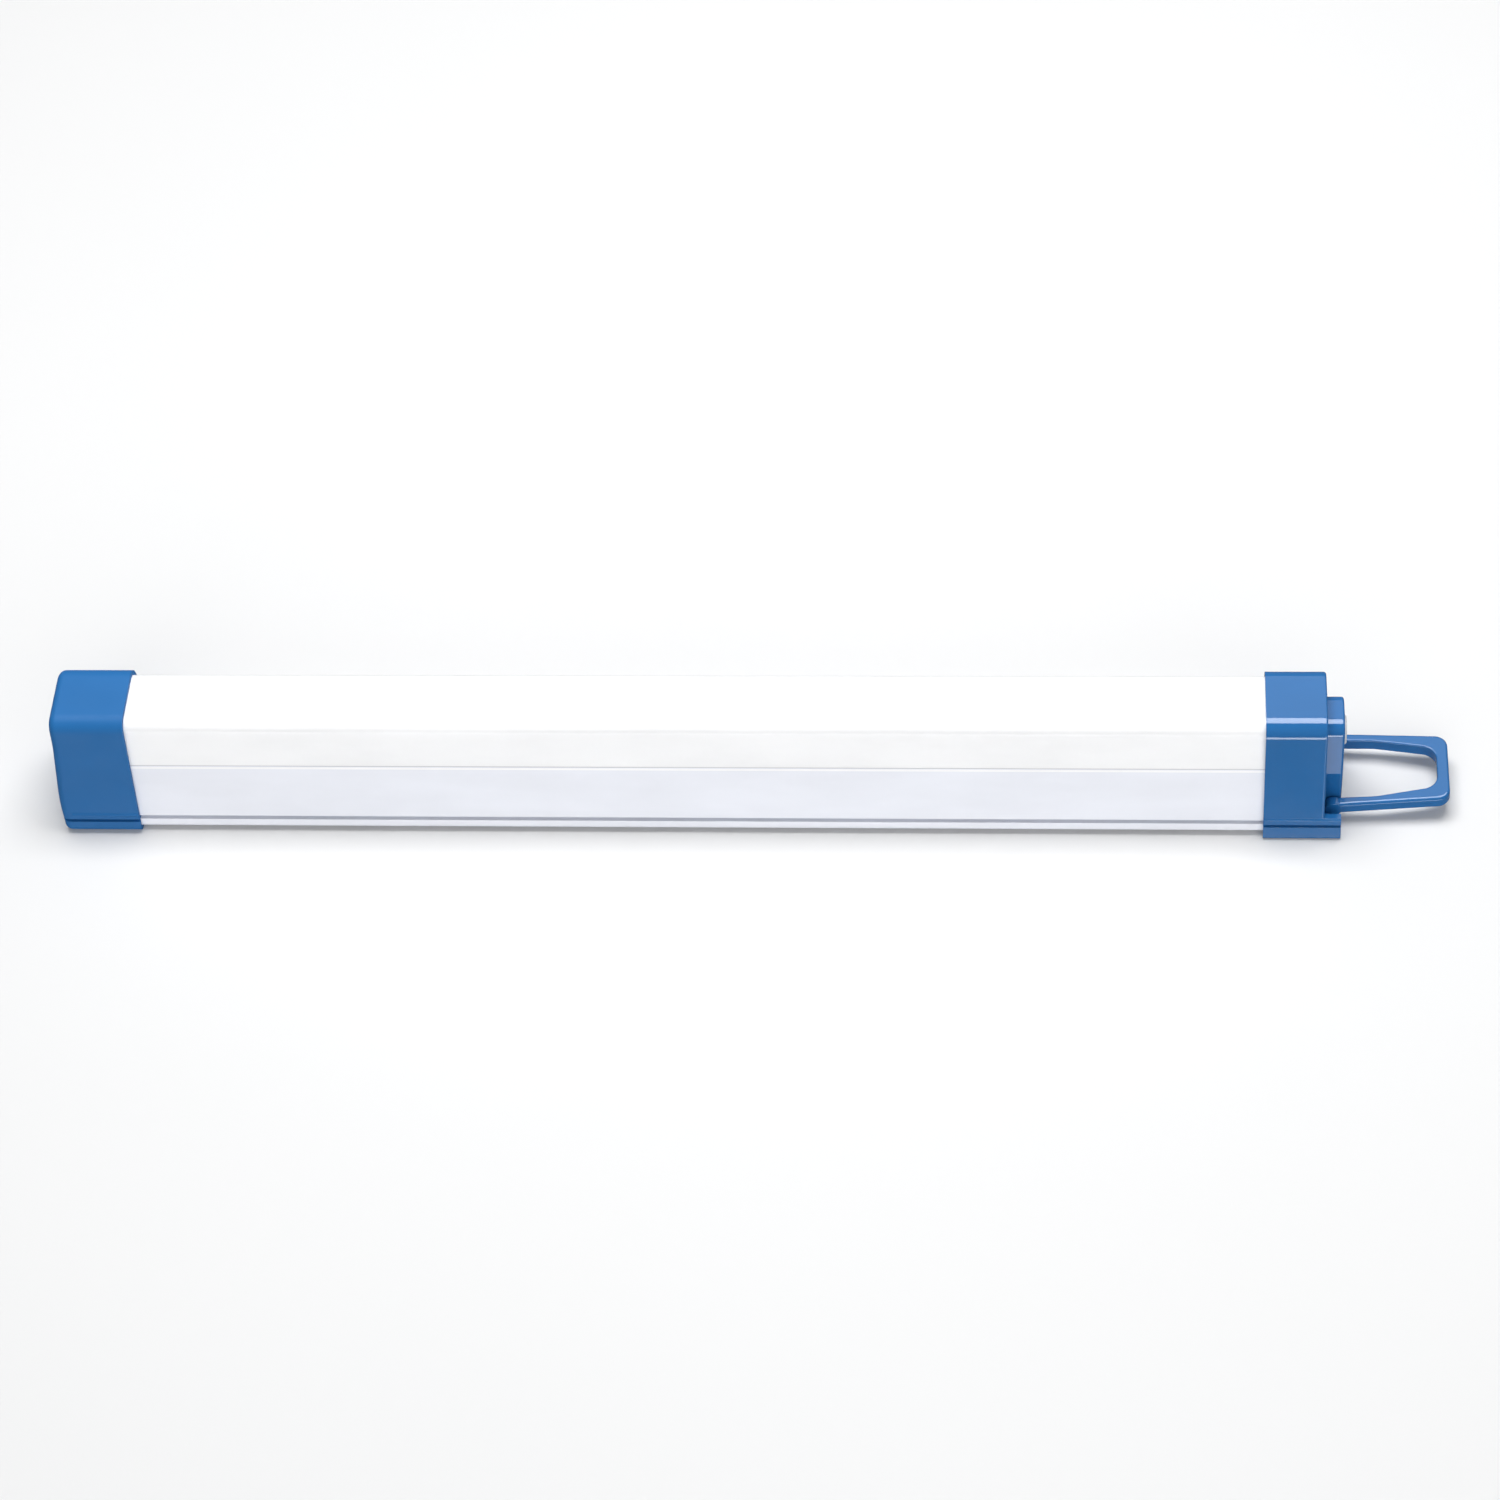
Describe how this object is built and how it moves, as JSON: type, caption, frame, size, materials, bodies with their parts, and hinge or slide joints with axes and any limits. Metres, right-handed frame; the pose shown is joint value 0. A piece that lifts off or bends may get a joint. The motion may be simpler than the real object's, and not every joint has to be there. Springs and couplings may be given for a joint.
{
  "type": "led light tube",
  "caption": "Slim rechargeable LED light tube: tapered white body with a milky diffuser, blue end caps, and a flat hook that folds round a boss on one end.",
  "frame": {"origin": "centre of the flat back, half way between the end caps, in the plane that the caps rest on", "axes": "+X along the tube towards the hook, +Y across it, +Z from the flat back out through the light face"},
  "size_m": [0.348, 0.0346, 0.0346],
  "materials": {
    "blue_satin": "satin moulded ABS, fine spark texture",
    "blue_gloss": "glossy moulded ABS",
    "white_housing": "satin white moulded plastic",
    "milky_diffuser": "milky translucent diffuser",
    "button_rubber": "soft grey key",
    "switch_black": "black moulded",
    "plunger_black": "black moulded",
    "socket_steel": "stamped nickel-plated steel",
    "socket_insulator": "black moulded with gold contacts",
    "clear_pipe": "clear moulded light pipe",
    "led_package": "white package with a yellow phosphor window",
    "indicator_led": "white chip light",
    "board_green": "green solder mask",
    "board_white": "white solder mask",
    "chip_black": "black epoxy",
    "coil_ferrite": "grey ferrite",
    "resistor_black": "black with tinned ends",
    "screw_steel": "zinc plated",
    "cell_wrap": "green shrink wrap",
    "ring_paper": "fish paper",
    "nickel": "bright nickel",
    "foam_grey": "closed-cell foam",
    "wire_red": "red insulation",
    "wire_black": "black insulation",
    "magnet_nickel": "nickel plated"
  },
  "bodies": {
    "lamp_body": {"diffuser": "milky_diffuser", "housing": "white_housing", "end_cap": "blue_satin", "hook_cap": "blue_gloss", "switch_body": "switch_black", "charge_socket_shell": "socket_steel", "charge_socket_tongue": "socket_insulator", "indicator_light_pipes": "clear_pipe", "indicator_leds": "indicator_led", "control_board": "board_green", "control_board_screws": "screw_steel", "board_chips": "chip_black", "board_coil": "coil_ferrite", "board_passives": "resistor_black", "led_strip_board": "board_white", "leds": "led_package", "strip_resistors": "resistor_black", "strip_wire_red": "wire_red", "strip_wire_black": "wire_black", "battery_cells": "cell_wrap", "cell_rings": "ring_paper", "nickel_straps": "nickel", "foam_pads": "foam_grey", "battery_wire_red": "wire_red", "battery_wire_black": "wire_black", "end_cap_screws": "screw_steel", "hook_cap_screws": "screw_steel", "end_cap_magnets": "magnet_nickel", "hook_cap_magnets": "magnet_nickel"},
    "hook": {"hook": "blue_gloss"},
    "button": {"push_button": "button_rubber", "switch_plunger": "plunger_black"}
  },
  "joints": [
    {"name": "hook_fold", "type": "hinge", "parent": "lamp_body", "child": "hook", "pos_m": [0.1584, 0, 0.0044], "axis": [0, -1, 0], "range_deg": [-2.3, 87.7]},
    {"name": "button_press", "type": "slide", "parent": "lamp_body", "child": "button", "axis": [-1, 0, 0], "range_m": [0, 0.0005], "stiffness_N_per_m": 800, "springref_m": -0.0006}
  ]
}
